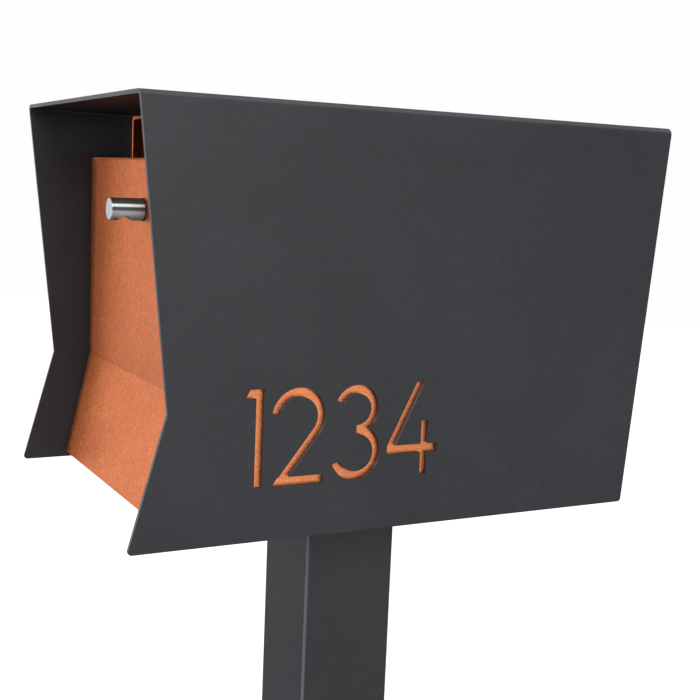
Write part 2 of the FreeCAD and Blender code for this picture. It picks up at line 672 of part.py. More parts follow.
def front_door():
    """A shallow pan: kinked front sheet with its sides and top folded back."""
    outside = door_block(DOOR_LINE, DOOR_HALF, DOOR_BEND, 0.0)
    inner_line = parallel(DOOR_LINE, DOOR_SHEET)
    open_below = 5.0
    low = (inner_line[0][0] - UP_DOOR[0] * open_below, inner_line[0][1] - UP_DOOR[1] * open_below)
    high = (inner_line[-1][0], inner_line[-1][1] - DOOR_SHEET)
    inner_line = [low, inner_line[1], high]
    inside = door_block(inner_line, DOOR_HALF - DOOR_SHEET, DOOR_BEND - DOOR_SHEET, DOOR_SHEET)
    knob_hole = hole(KNOB_SCREW_SHANK + 0.4, at(0, DOOR_PLANE_DEPTH, KNOB_HEIGHT), BACKWARD, 12.0)
    return outside.cut(inside).cut(knob_hole)


def door_block(line, half, radius, deeper):
    """A solid from the line back by the flange's depth, with rounded folds at sides and top."""
    body = side_prism(line + parallel(line, DOOR_FLANGE)[::-1], -half, half)
    return body.makeFillet(radius, [edge for edge in body.Edges if on_door_fold(edge, half, deeper)])


def on_door_fold(edge, half, deeper):
    """True for the front edges of the door's block that are folds: both sides and the top."""
    box = edge.BoundBox
    near = 1e-3
    plane = FRONT + DOOR_PLANE_DEPTH + deeper
    top = SHELL_GROUND + DOOR_TOP_HEIGHT - deeper
    on_front = box.YMax < plane + 1.0
    on_side = box.XLength < near and abs(abs(box.XMin) - half) < near
    on_top = abs(box.ZMin - top) < near and box.ZLength < near
    side_fold = on_front and on_side and box.ZLength > DOOR_FLANGE
    top_fold = on_front and on_top and box.XLength > half
    corner = on_top and box.XLength < near
    return side_fold or top_fold or corner


KNOB_SCREW_SHANK = 5.0
KNOB_SCREW_GRIP = 11.0      # screw's length inside the knob


def door_knob():
    """A turned knob with a finger groove across its underside and a tapped hole in its back."""
    face = DOOR_PLANE_DEPTH - KNOB_WASHER
    radius = KNOB_DIAMETER / 2
    body = Part.makeCylinder(radius, KNOB_LENGTH, at(0, face, KNOB_HEIGHT), -BACKWARD)
    body = body.makeChamfer(0.6, [edge for edge in body.Edges if edge.isClosed()])
    groove_height = KNOB_HEIGHT - radius - FINGER_RADIUS + FINGER_DEPTH
    groove_centre = at(-radius - 1, face - KNOB_LENGTH + FINGER_FROM_END, groove_height)
    body = body.cut(Part.makeCylinder(FINGER_RADIUS, KNOB_DIAMETER + 2, groove_centre, RIGHTWARD))
    return body.cut(hole(KNOB_SCREW_SHANK, at(0, face, KNOB_HEIGHT), BACKWARD, 2 * KNOB_SCREW_GRIP + 6.0))


def knob_washer():
    outside = KNOB_DIAMETER + 0.6
    point = at(0, DOOR_PLANE_DEPTH - KNOB_WASHER, KNOB_HEIGHT)
    return washer(outside, KNOB_SCREW_SHANK + 0.4, KNOB_WASHER, point, BACKWARD)


def knob_screw():
    length = DOOR_SHEET + KNOB_WASHER + KNOB_SCREW_GRIP
    point = at(0, DOOR_INNER_PLANE, KNOB_HEIGHT)
    return pan_screw(PAN_HEAD_M5, KNOB_SCREW_SHANK, length, point, BACKWARD)


# ---- hinge --------------------------------------------------------------------------------

def knuckle_spans(first):
    """(low, high) in x of every second knuckle, from the first-th on."""
    pitch = HINGE_LENGTH / HINGE_SEGMENTS
    spans = []
    for index in range(first, HINGE_SEGMENTS, 2):
        low = -HINGE_LENGTH / 2 + index * pitch
        spans.append((low + HINGE_SIDE_GAP / 2, low + pitch - HINGE_SIDE_GAP / 2))
    return spans


def leaf(side, height, first, clearance):
    """A hinge leaf on one side of the pin: -1 towards the door, +1 towards the floor's lip."""
    relief = KNUCKLE_RADIUS + 0.6
    near = side * (KNUCKLE_RADIUS - HINGE_LEAF)
    far = side * KNUCKLE_RADIUS
    plate = [by_pin(near, relief), by_pin(near, height), by_pin(far, height), by_pin(far, relief)]
    pieces = [side_prism(plate, -HINGE_LENGTH / 2, HINGE_LENGTH / 2)]
    root = [by_pin(near, 0.0), by_pin(near, relief), by_pin(far, relief), by_pin(far, 0.0)]
    for low, high in knuckle_spans(first):
        pieces.append(side_prism(root, low, high))
        pieces.append(on_pin(KNUCKLE_RADIUS, low, high))
    body = pieces[0].fuse(pieces[1:])
    return body.cut(on_pin(HINGE_PIN_RADIUS + clearance, -HINGE_LENGTH, HINGE_LENGTH))


def on_pin(radius, x_low, x_high):
    """A cylinder about the hinge pin's axis."""
    return Part.makeCylinder(radius, x_high - x_low, at(x_low, PIN_DEPTH, PIN_HEIGHT), RIGHTWARD)


def stud_point(x):
    return at(x, *by_pin(-KNUCKLE_RADIUS, DOOR_STUD_HEIGHT))


def rivet_point(x):
    return at(x, *by_pin(KNUCKLE_RADIUS, FIXED_LEAF_HEIGHT - RIVET_BELOW_EDGE))


def hinge_leaf_door():
    body = leaf(-1, DOOR_LEAF_HEIGHT, 1, HINGE_FIT)
    stud_hole = HINGE_STUD_SHANK + 0.4
    holes = [hole(stud_hole, stud_point(x), INTO_BOX_3D, 6.0) for x in HINGE_FASTENER_X]
    return body.cut(Part.makeCompound(holes)).removeSplitter()


def hinge_leaf_fixed():
    body = leaf(1, FIXED_LEAF_HEIGHT, 0, HINGE_FIT / 2)
    holes = [hole(RIVET_SHANK + 0.1, rivet_point(x), INTO_BOX_3D, 6.0) for x in HINGE_FASTENER_X]
    return body.cut(Part.makeCompound(holes)).removeSplitter()


def hinge_pin():
    end = HINGE_LENGTH / 2 + 1.0
    return on_pin(HINGE_PIN_RADIUS, -end, end)


def hinge_studs():
    """Studs welded inside the door, so no fastener shows on its face."""
    length = 7.0
    return group([turned(Part.makeCylinder(HINGE_STUD_SHANK / 2, length), stud_point(x), INTO_BOX_3D)
                  for x in HINGE_FASTENER_X])


def hinge_nuts():
    through_leaf = INTO_BOX_3D * HINGE_LEAF
    return group([nut(NUT_M4, HINGE_STUD_SHANK, stud_point(x) + through_leaf, INTO_BOX_3D)
                  for x in HINGE_FASTENER_X])


def hinge_rivets():
    """Flat rivets through the fixed leaf and the floor's front lip."""
    grip = HINGE_LEAF + FLOOR_SHEET
    head_height = 0.9
    tail_height = 1.6
    rivets = []
    for x in HINGE_FASTENER_X:
        face = rivet_point(x) - INTO_BOX_3D * HINGE_LEAF
        head = Part.makeCylinder(RIVET_SHANK * 0.8, head_height, Vector(0, 0, -head_height))
        shank = Part.makeCylinder(RIVET_SHANK / 2, grip)
        tail = Part.makeCylinder(RIVET_SHANK * 0.7, tail_height, Vector(0, 0, grip))
        rivets.append(turned(head.fuse([shank, tail]).removeSplitter(), face, INTO_BOX_3D))
    return group(rivets)


# ---- catches and bumpers ------------------------------------------------------------------

CATCH_X = LINER_HALF - CATCH_TAB / 2 - 2.0
CATCH_FRONT = DOOR_INNER_PLANE + STRIKE_SHEET + MAGNET_GAP
CATCH_BACK = DOOR_PLANE_DEPTH + LINER_SETBACK
MAGNET_TALL = 18.0
MAGNET_WIDTH = 10.0
MAGNET_THICK = 5.0
CATCH_SCREW_SHANK = 3.0


CATCH_SCREW_PLACES = both_sides(CATCH_X, (CATCH_HEIGHT + 5.0, CATCH_HEIGHT + CATCH_TALL - 5.0))


def catch_hole(x, height):
    return hole(CATCH_SCREW_SHANK + 0.3, at(x, CATCH_BACK, height), BACKWARD, 60.0)


def beside_magnet(x, clear):
    """The magnet's block at x, smaller by the clearance all round."""
    middle = CATCH_HEIGHT + CATCH_TALL / 2
    half_width = MAGNET_WIDTH / 2 - clear
    half_tall = MAGNET_TALL / 2 - clear
    back = CATCH_FRONT + MAGNET_THICK
    return block(x - half_width, x + half_width, CATCH_FRONT, back, middle - half_tall, middle + half_tall)


def catch_bodies():
    """Moulded holders: a pocket for the magnet and two counterbored screw holes."""
    counterbore_depth = 5.0
    half = CATCH_WIDTH / 2
    low = CATCH_HEIGHT + 0.5
    high = CATCH_HEIGHT + CATCH_TALL - 0.5
    bodies = []
    for x in (-CATCH_X, CATCH_X):
        body = block(x - half, x + half, CATCH_FRONT, CATCH_BACK, low, high)
        lengthwise = [edge for edge in body.Edges if edge.BoundBox.YLength > CATCH_BACK - CATCH_FRONT - 1]
        body = body.makeFillet(1.5, lengthwise).cut(beside_magnet(x, 0.0))
        for screw_x, height in CATCH_SCREW_PLACES:
            if screw_x == x:
                face = at(x, CATCH_FRONT, height)
                body = body.cut(catch_hole(x, height))
                body = body.cut(hole(PAN_HEAD_M3[0] + 0.6, face, BACKWARD, 2 * counterbore_depth))
        bodies.append(body)
    return group(bodies)


def catch_magnets():
    return group([beside_magnet(x, 0.1) for x in (-CATCH_X, CATCH_X)])


def catch_screws():
    seat = CATCH_FRONT + 5.0
    length = CATCH_BACK + LINER_SHEET - seat + 4.0
    return group([pan_screw(PAN_HEAD_M3, CATCH_SCREW_SHANK, length, at(x, seat, height), -BACKWARD)
                  for x, height in CATCH_SCREW_PLACES])


def catch_nuts():
    face = CATCH_BACK + LINER_SHEET
    return group([nut(NUT_M3, CATCH_SCREW_SHANK, at(x, face, height), BACKWARD)
                  for x, height in CATCH_SCREW_PLACES])


def strike_plates():
    half = CATCH_WIDTH / 2
    corner = 2.0
    low = CATCH_HEIGHT + 4.0
    high = CATCH_HEIGHT + CATCH_TALL - 4.0
    plates = []
    for x in (-CATCH_X, CATCH_X):
        places = [(x - half, low), (x + half, low), (x + half, high), (x - half, high)]
        points = [(*place, corner) for place in places]
        plates.append(front_prism(points, DOOR_INNER_PLANE, DOOR_INNER_PLANE + STRIKE_SHEET))
    return group(plates)


def door_bumpers():
    """Rubber buttons on the liner's lip that meet the door's folded sides."""
    bumpers = []
    reach = LINER_SETBACK - DOOR_FLANGE - 0.3
    seat = parallel(DOOR_LINE, LINER_SETBACK)
    x = LINER_HALF - BUMPER_DIAMETER / 2
    for side, height in both_sides(x, BUMPER_HEIGHTS):
        direction = -INTO_BOX_3D if height < DOOR_KINK_HEIGHT else -BACKWARD
        body = Part.makeCylinder(BUMPER_DIAMETER / 2, reach)
        crown = [edge for edge in body.Edges if edge.isClosed() and edge.BoundBox.ZMin > reach / 2]
        body = body.makeFillet(1.0, crown)
        bumpers.append(turned(body, at(side, height_on(seat, height), height), direction))
    return group(bumpers)


# ---- post and plates ----------------------------------------------------------------------

def square_wire(size, corner, height):
    """A rounded square about the post's axis, at a height above the ground."""
    half = size / 2
    points = [(-half, -half, corner), (half, -half, corner), (half, half, corner), (-half, half, corner)]
    return outline(points, lambda x, y: Vector(x, POST_BEHIND + y, height))


def square(size, corner, low, high):
    """An upright square bar about the post's axis, between two heights above the ground."""
    return Part.Face(square_wire(size, corner, low)).extrude(Vector(0, 0, high - low))


PLATE_TOP = SHELL_GROUND + FLOOR_UNDERSIDE
PLATE_LOW = PLATE_TOP - TOP_PLATE_THICK


def post_tube():
    outside = square(POST_WIDTH, POST_CORNER, BASE_PLATE_THICK, PLATE_LOW)
    inside = square(POST_WIDTH - 2 * POST_WALL, POST_CORNER - POST_WALL, BASE_PLATE_THICK, PLATE_LOW)
    return outside.cut(inside)


def post_top_plate():
    plate = square(TOP_PLATE_SIZE, PLATE_CORNER, PLATE_LOW, PLATE_TOP)
    bolt_hole = BOLT_SHANK + 0.6
    holes = [hole(bolt_hole, at(x, depth, FLOOR_UNDERSIDE), UPWARD, 30.0) for x, depth in BOLT_PLACES]
    return plate.cut(Part.makeCompound(holes))


def mounting_bolts():
    past_nut = 2.0
    length = FLOOR_SHEET + TOP_PLATE_THICK + 2 * BOLT_WASHER + NUT_M8[1] + past_nut
    seat = FLOOR_TOP + BOLT_WASHER
    return group([hex_bolt(BOLT_HEAD_M8, BOLT_SHANK, length, at(x, depth, seat), UPWARD)
                  for x, depth in BOLT_PLACES])


def bolt_washers():
    """Wide washers on the thin floor, plain ones under the plate."""
    bore = BOLT_SHANK + 0.4
    low = PLATE_LOW - BOLT_WASHER
    rings = [washer(22.0, bore, BOLT_WASHER, at(x, depth, FLOOR_TOP), UPWARD) for x, depth in BOLT_PLACES]
    rings += [washer(17.0, bore, BOLT_WASHER, Vector(x, FRONT + depth, low), UPWARD)
              for x, depth in BOLT_PLACES]
    return group(rings)


def mounting_nuts():
    low = PLATE_LOW - BOLT_WASHER - NUT_M8[1]
    return group([nut(NUT_M8, BOLT_SHANK, Vector(x, FRONT + depth, low), UPWARD)
                  for x, depth in BOLT_PLACES])


def base_plate():
    plate = square(BASE_PLATE_SIZE, PLATE_CORNER, 0.0, BASE_PLATE_THICK)
    rim = [edge for edge in plate.Edges if edge.BoundBox.ZMin > BASE_PLATE_THICK - 0.1]
    plate = plate.makeChamfer(0.8, rim)
    half = ANCHOR_SPACING / 2
    holes = [hole(ANCHOR_HOLE, Vector(x, POST_BEHIND + y, BASE_PLATE_THICK), UPWARD, 40.0)
             for x, y in both_sides(half, (-half, half))]
    return plate.cut(Part.makeCompound(holes))


def weld_ring(low, high, wide_low, wide_high):
    """A fillet weld round the post between two heights, as a tapered square ring."""
    wires = [square_wire(POST_WIDTH + 2 * wide, POST_CORNER + wide, height)
             for wide, height in ((wide_low, low), (wide_high, high))]
    bead = Part.makeLoft(wires, True, True)
    return bead.cut(square(POST_WIDTH, POST_CORNER, low - 1, high + 1))


def base_weld():
    return weld_ring(BASE_PLATE_THICK, BASE_PLATE_THICK + WELD_LEG, WELD_LEG, 0.6)


def top_weld():
    return weld_ring(PLATE_LOW - WELD_LEG, PLATE_LOW, 0.6, WELD_LEG)


# ---- all pieces ---------------------------------------------------------------------------

PIECES = [
    outer_shell, shell_studs, stud_spacers, stud_nuts, liner, floor_pan, floor_screws, floor_nuts,
    back_panel, back_screws, back_nuts, front_door, door_knob, knob_washer, knob_screw,
    hinge_leaf_door, hinge_leaf_fixed, hinge_pin, hinge_studs, hinge_nuts, hinge_rivets,
    catch_bodies, catch_magnets, catch_screws, catch_nuts, strike_plates, door_bumpers,
    post_tube, post_top_plate, top_weld, mounting_bolts, bolt_washers, mounting_nuts,
    base_plate, base_weld,
]

os.makedirs("parts", exist_ok=True)
for piece in PIECES:
    shape = piece()
    if not shape.isValid():
        raise ValueError(piece.__name__ + " is not a valid solid")
    shape.exportStep("parts/" + piece.__name__ + ".step")
    print(piece.__name__, len(shape.Solids), round(shape.Volume))
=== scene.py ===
import bpy
import math
from mathutils import Matrix, Vector


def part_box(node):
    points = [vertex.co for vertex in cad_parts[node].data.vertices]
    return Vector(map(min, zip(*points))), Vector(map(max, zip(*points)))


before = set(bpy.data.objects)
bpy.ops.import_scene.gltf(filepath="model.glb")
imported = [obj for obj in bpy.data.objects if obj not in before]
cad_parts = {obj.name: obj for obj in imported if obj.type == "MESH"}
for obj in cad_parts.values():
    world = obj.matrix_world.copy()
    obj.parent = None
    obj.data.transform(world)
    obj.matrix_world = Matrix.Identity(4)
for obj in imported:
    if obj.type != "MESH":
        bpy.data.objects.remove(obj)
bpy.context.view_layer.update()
bpy.ops.object.select_all(action="DESELECT")


# ---- post ----------------------------------------------------------------------------------
# A square steel tube, welded to a plate under the box and to a thicker plate on the ground.
# The whole stand is powder coated at once: matt charcoal, finely grained, with faint clouds
# where the spray gun passed.

def new_finish(name):
    """A material and its shader, ready for textures."""
    finish = bpy.data.materials.new(name)
    finish.use_nodes = True
    return finish, finish.node_tree, finish.node_tree.nodes["Principled BSDF"]


def stretched(tree, scale, centre=(0.0, 0.0, 0.0)):
    """Places on the piece, measured from a centre and stretched by a scale on each axis."""
    place = tree.nodes.new("ShaderNodeTexCoord")
    mapping = tree.nodes.new("ShaderNodeMapping")
    mapping.inputs["Scale"].default_value = scale
    mapping.inputs["Location"].default_value = [-c * s for c, s in zip(centre, scale)]
    tree.links.new(place.outputs["Object"], mapping.inputs["Vector"])
    return mapping.outputs["Vector"]


def noise(tree, vector, scale, detail=2.0, distortion=0.0):
    """A cloudy pattern from 0 to 1."""
    pattern = tree.nodes.new("ShaderNodeTexNoise")
    pattern.inputs["Scale"].default_value = scale
    pattern.inputs["Detail"].default_value = detail
    pattern.inputs["Distortion"].default_value = distortion
    tree.links.new(vector, pattern.inputs["Vector"])
    return pattern.outputs["Fac"]


def blend_tones(tree, factor, dark, light, low=0.3, high=0.7):
    """Runs from the dark tone to the light one as the factor goes from low to high."""
    ramp = tree.nodes.new("ShaderNodeValToRGB")
    ramp.color_ramp.elements[0].position = low
    ramp.color_ramp.elements[0].color = (*dark, 1.0)
    ramp.color_ramp.elements[1].position = high
    ramp.color_ramp.elements[1].color = (*light, 1.0)
    tree.links.new(factor, ramp.inputs["Fac"])
    return ramp.outputs["Color"]


def multiplied(tree, first, second):
    """Two colours multiplied."""
    mix = tree.nodes.new("ShaderNodeMix")
    mix.data_type = "RGBA"
    mix.blend_type = "MULTIPLY"
    mix.inputs["Factor"].default_value = 1.0
    tree.links.new(first, mix.inputs["A"])
    tree.links.new(second, mix.inputs["B"])
    return mix.outputs["Result"]


def tint(tree, colour, factor, darkest, lightest, low=0.3, high=0.7):
    """The colour, darkened and lightened by a second pattern."""
    shade = blend_tones(tree, factor, (darkest,) * 3, (lightest,) * 3, low, high)
    return multiplied(tree, colour, shade)


def mapped(tree, factor, start, end, at_start=0.0, at_end=1.0):
    """A number that runs from at_start to at_end as the factor goes from start to end."""
    spread = tree.nodes.new("ShaderNodeMapRange")
    spread.inputs["From Min"].default_value = start
    spread.inputs["From Max"].default_value = end
    spread.inputs["To Min"].default_value = at_start
    spread.inputs["To Max"].default_value = at_end
    tree.links.new(factor, spread.inputs["Value"])
    return spread.outputs["Result"]


def ranged(tree, pattern, low, high):
    """A number that follows a noise pattern, which keeps between 0.3 and 0.7."""
    return mapped(tree, pattern, 0.3, 0.7, low, high)


def calculated(tree, operation, *values):
    """The result of a Math node."""
    step = tree.nodes.new("ShaderNodeMath")
    step.operation = operation
    for value, socket in zip(values, step.inputs):
        tree.links.new(value, socket)
    return step.outputs["Value"]


def split(tree, vector):
    """The X, Y and Z of a vector, by name."""
    parts = tree.nodes.new("ShaderNodeSeparateXYZ")
    tree.links.new(vector, parts.inputs["Vector"])
    return parts.outputs


def surface_direction(tree):
    """The way the surface faces, which turns with the piece."""
    return tree.nodes.new("ShaderNodeTexCoord").outputs["Normal"]


def relief(tree, shader, patterns):
    """Bumps one on another; patterns are (factor, strength, depth in metres)."""
    previous = None
    for factor, strength, depth in patterns:
        bump = tree.nodes.new("ShaderNodeBump")
        bump.inputs["Strength"].default_value = strength
        bump.inputs["Distance"].default_value = depth
        tree.links.new(factor, bump.inputs["Height"])
        if previous is not None:
            tree.links.new(previous, bump.inputs["Normal"])
        previous = bump.outputs["Normal"]
    tree.links.new(previous, shader.inputs["Normal"])


def turned_away(tree, start, full):
    """0 on faces square to an axis, 1 on rounded corners and folds."""
    lengths = tree.nodes.new("ShaderNodeVectorMath")
    lengths.operation = "ABSOLUTE"
    tree.links.new(surface_direction(tree), lengths.inputs[0])
    parts = split(tree, lengths.outputs["Vector"])
    longest = calculated(tree, "MAXIMUM", parts["X"], parts["Y"])
    longest = calculated(tree, "MAXIMUM", longest, parts["Z"])
    return mapped(tree, longest, 1.0 - start, 1.0 - full)


def facing_front(tree):
    """1 on the faces that look forward, such as the cut front edges of a sheet."""
    return mapped(tree, split(tree, surface_direction(tree))["Y"], -0.75, -0.92)


def lifted(tree, colour, factor, gain):
    """The colour, multiplied by the gain where the factor is 1."""
    scale = tree.nodes.new("ShaderNodeVectorMath")
    scale.operation = "SCALE"
    tree.links.new(colour, scale.inputs[0])
    tree.links.new(mapped(tree, factor, 0.0, 1.0, 1.0, gain), scale.inputs["Scale"])
    return scale.outputs["Vector"]


def powder_coat(name, dark, light, rough, gloss, painted_corner_highlight, painted_front_light):
    """Baked powder paint with grains a millimetre wide, with a painted highlight on corners and
    painted light on front faces.
    """
    finish, tree, shader = new_finish(name)
    plain = stretched(tree, (1.0, 1.0, 1.0))
    clouds = noise(tree, plain, 7.0, 4.0, 0.6)
    mottle = noise(tree, plain, 160.0, 3.0)
    grains = noise(tree, plain, 1100.0, 2.0)
    colour = blend_tones(tree, clouds, dark, light)
    colour = tint(tree, colour, mottle, 0.94, 1.06)
    colour = tint(tree, colour, grains, 0.84, 1.18)
    # painted highlight on rounded corners and folds, and painted light on faces that look forward
    colour = lifted(tree, colour, turned_away(tree, 0.05, 0.16), painted_corner_highlight)
    colour = lifted(tree, colour, facing_front(tree), painted_front_light)
    tree.links.new(colour, shader.inputs["Base Color"])
    tree.links.new(ranged(tree, grains, rough - 0.05, rough + 0.06), shader.inputs["Roughness"])
    relief(tree, shader, [(mottle, 0.10, 0.0004), (grains, 0.35, 0.00025)])
    shader.inputs["Specular IOR Level"].default_value = gloss
    return finish


def paint(finish, *names):
    """Gives CAD nodes their finish."""
    for name in names:
        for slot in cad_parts[name].material_slots:
            slot.material = finish


# painted light: the post's front face is made brighter, and its rounded corners carry a painted
# highlight
post_finish = powder_coat(
    "post_powder_coat", (0.026, 0.027, 0.031), (0.034, 0.035, 0.040),
    rough=0.52, gloss=0.50, painted_corner_highlight=4.5, painted_front_light=1.7)
paint(post_finish, "post_tube", "post_top_plate", "base_plate", "top_weld", "base_weld")


# ---- outer shell ---------------------------------------------------------------------------
# One sheet of 3.2 mm steel, cut and folded into an arch with kinked front edges. The house
# number is cut through its right side before it is coated, so the paint wraps into the cuts.
# Its cut front edges and its folds are painted paler, as a painted highlight. The back panel has the
# same coat.

# painted highlight on the folds and on the cut front edges
shell_finish = powder_coat(
    "shell_powder_coat", (0.030, 0.031, 0.035), (0.039, 0.040, 0.045),
    rough=0.50, gloss=0.22, painted_corner_highlight=2.2, painted_front_light=3.8)
paint(shell_finish, "outer_shell", "back_panel")


# ---- liner and floor -----------------------------------------------------------------------
# Copper sheet folded into the inner box. Its grain was brushed along the sheet before it was
# folded, so the lines run front to back on its walls and floor. Its front lip carries a painted
# highlight.

FRONT_TO_BACK = (1.0, 0.16, 1.0)


def brushed_copper(name, grain, dark, light, rough, painted_highlight_places):
    """Brushed copper with short scratches along its grain and fine pale flecks.

    The places that the mask picks carry a painted highlight, so they look paler and less metallic.
    """
    finish, tree, shader = new_finish(name)
    scratches = noise(tree, stretched(tree, grain), 1150.0, 3.0)
    plain = stretched(tree, (1.0, 1.0, 1.0))
    sparkle = noise(tree, plain, 800.0, 1.0)
    mottle = noise(tree, plain, 130.0, 3.0)
    clouds = noise(tree, plain, 14.0, 3.0, 0.4)
    colour = blend_tones(tree, scratches, dark, light, 0.25, 0.75)
    colour = tint(tree, colour, clouds, 0.93, 1.06)
    colour = tint(tree, colour, mottle, 0.94, 1.06)
    colour = tint(tree, colour, sparkle, 0.96, 1.34, 0.50, 0.75)
    # painted highlight: paler colour and less metal where the mask is 1
    painted_highlight = painted_highlight_places(tree)
    colour = lifted(tree, colour, painted_highlight, 1.35)
    tree.links.new(colour, shader.inputs["Base Color"])
    tree.links.new(ranged(tree, scratches, rough - 0.06, rough + 0.08), shader.inputs["Roughness"])
    relief(tree, shader, [(scratches, 0.22, 0.0002), (sparkle, 0.22, 0.0002)])
    tree.links.new(mapped(tree, painted_highlight, 0.0, 1.0, 1.0, 0.4), shader.inputs["Metallic"])
    return finish


liner_finish = brushed_copper(
    "liner_copper", FRONT_TO_BACK, (0.62, 0.19, 0.075), (0.86, 0.31, 0.13), rough=0.42,
    painted_highlight_places=facing_front)
paint(liner_finish, "liner", "floor_pan")


# ---- front door ----------------------------------------------------------------------------
# A shallow copper pan, creased a third of the way up and folded back at its sides and top.
# It was brushed from side to side, which leaves short bright scratches across it. Its folds
# carry a painted highlight.

ACROSS = (0.16, 1.0, 1.0)


def folds(tree):
    """1 where a sheet is folded."""
    return turned_away(tree, 0.05, 0.2)


door_finish = brushed_copper(
    "door_copper", ACROSS, (0.65, 0.175, 0.060), (0.87, 0.29, 0.11), rough=0.47, painted_highlight_places=folds)
paint(door_finish, "front_door")


# ---- knob ----------------------------------------------------------------------------------
# Turned from stainless bar, with the lathe's rings on its end. Lengthwise light and dark
# bands are painted on its side as a painted reflection. A rubber washer keeps it off the copper.

# how bright the painted reflection on the side is, by degrees up from level; both flanks are alike
PAINTED_REFLECTION_BANDS = [
    (-90, 0.20), (-45, 0.26), (-16, 0.42), (-9, 0.34), (-3, 0.07), (10, 0.05),
    (17, 0.9), (25, 0.9), (32, 0.07), (90, 0.03),
]
END_FACE_TONE = (0.72, 0.70, 0.69)


def painted_reflection_bands(tree, parts):
    """Painted reflection: light and dark bands along the side of a front-to-back bar."""
    sideways = calculated(tree, "ABSOLUTE", parts["X"])
    steepness = calculated(tree, "ARCTAN2", parts["Z"], sideways)
    bands = tree.nodes.new("ShaderNodeValToRGB")
    stops = bands.color_ramp.elements
    for stop, (_, tone) in zip(stops, (PAINTED_REFLECTION_BANDS[0], PAINTED_REFLECTION_BANDS[-1])):
        stop.color = (tone, tone, tone, 1.0)
    for degrees, tone in PAINTED_REFLECTION_BANDS[1:-1]:
        stops.new((degrees + 90) / 180).color = (tone, tone, tone, 1.0)
    tree.links.new(mapped(tree, steepness, -math.pi / 2, math.pi / 2), bands.inputs["Fac"])
    return bands.outputs["Color"]


def lathe_rings(tree, parts):
    """Fine rings about a front-to-back axis."""
    flat = tree.nodes.new("ShaderNodeCombineXYZ")
    tree.links.new(parts["X"], flat.inputs["X"])
    tree.links.new(parts["Z"], flat.inputs["Z"])
    radius = tree.nodes.new("ShaderNodeVectorMath")
    radius.operation = "LENGTH"
    tree.links.new(flat.outputs["Vector"], radius.inputs[0])
    ring_place = tree.nodes.new("ShaderNodeCombineXYZ")
    tree.links.new(radius.outputs["Value"], ring_place.inputs["X"])
    tree.links.new(parts["Y"], ring_place.inputs["Y"])
    return noise(tree, ring_place.outputs["Vector"], 2600.0, 3.0)


def turned_steel(name, centre):
    """Stainless steel turned about a front-to-back axis, with a painted reflection in bands along its
    side.
    """
    finish, tree, shader = new_finish(name)
    place = stretched(tree, (1.0, 1.0, 1.0), centre)
    parts = split(tree, place)
    rings = lathe_rings(tree, parts)
    smudge = noise(tree, place, 260.0, 2.0)
    colour = blend_tones(tree, rings, (0.72, 0.80, 0.83), (0.86, 0.95, 0.98))
    colour = tint(tree, colour, smudge, 0.96, 1.03)
    end_face = facing_front(tree)
    # painted reflection bands on the side, the plain end tone on the end face
    bands_or_end_tone = tree.nodes.new("ShaderNodeMix")
    bands_or_end_tone.data_type = "RGBA"
    bands_or_end_tone.inputs["B"].default_value = (*END_FACE_TONE, 1.0)
    tree.links.new(end_face, bands_or_end_tone.inputs["Factor"])
    tree.links.new(painted_reflection_bands(tree, parts), bands_or_end_tone.inputs["A"])
    colour = multiplied(tree, colour, bands_or_end_tone.outputs["Result"])
    tree.links.new(colour, shader.inputs["Base Color"])
    tree.links.new(mapped(tree, end_face, 0.0, 1.0, 0.15, 0.90), shader.inputs["Metallic"])
    tree.links.new(ranged(tree, rings, 0.34, 0.42), shader.inputs["Roughness"])
    relief(tree, shader, [(rings, 0.06, 0.00003)])
    return finish


knob_low, knob_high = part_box("door_knob")
knob_finish = turned_steel("knob_steel", (knob_low + knob_high) / 2)
paint(knob_finish, "door_knob")


def moulded(name, dark, light, rough, grain_scale):
    """Black rubber or nylon with a fine moulded grain."""
    finish, tree, shader = new_finish(name)
    plain = stretched(tree, (1.0, 1.0, 1.0))
    grain = noise(tree, plain, grain_scale, 3.0)
    bloom = noise(tree, plain, 60.0, 3.0)
    colour = tint(tree, blend_tones(tree, bloom, dark, light), grain, 0.85, 1.15)
    tree.links.new(colour, shader.inputs["Base Color"])
    tree.links.new(ranged(tree, grain, rough - 0.06, rough + 0.06), shader.inputs["Roughness"])
    relief(tree, shader, [(grain, 0.3, 0.0002)])
    return finish


rubber_finish = moulded("black_rubber", (0.014, 0.014, 0.015), (0.022, 0.022, 0.023), 0.72, 900.0)
paint(rubber_finish, "knob_washer", "door_bumpers")


# ---- hinge, catches and fasteners ----------------------------------------------------------
# The piano hinge and the screws that show are plain stainless; the nuts, studs and strike
# plates inside are zinc plated, with the faint yellow and blue clouds of the passivation.

def plated_steel(name, dark, light, rough):
    """Bare or plated steel, cloudy, with fine front-to-back scratches."""
    finish, tree, shader = new_finish(name)
    plain = stretched(tree, (1.0, 1.0, 1.0))
    clouds = noise(tree, plain, 180.0, 3.0, 0.8)
    scratches = noise(tree, stretched(tree, (1.0, 0.08, 0.3)), 1500.0, 2.0)
    colour = tint(tree, blend_tones(tree, clouds, dark, light), scratches, 0.88, 1.10)
    tree.links.new(colour, shader.inputs["Base Color"])
    tree.links.new(ranged(tree, scratches, rough - 0.07, rough + 0.08), shader.inputs["Roughness"])
    relief(tree, shader, [(scratches, 0.2, 0.0001)])
    shader.inputs["Metallic"].default_value = 1.0
    return finish


stainless_finish = plated_steel("plain_stainless", (0.50, 0.50, 0.51), (0.62, 0.62, 0.63), 0.30)
paint(stainless_finish, "hinge_leaf_door", "hinge_leaf_fixed", "hinge_pin", "hinge_rivets")
paint(stainless_finish, "knob_screw", "back_screws", "floor_screws")

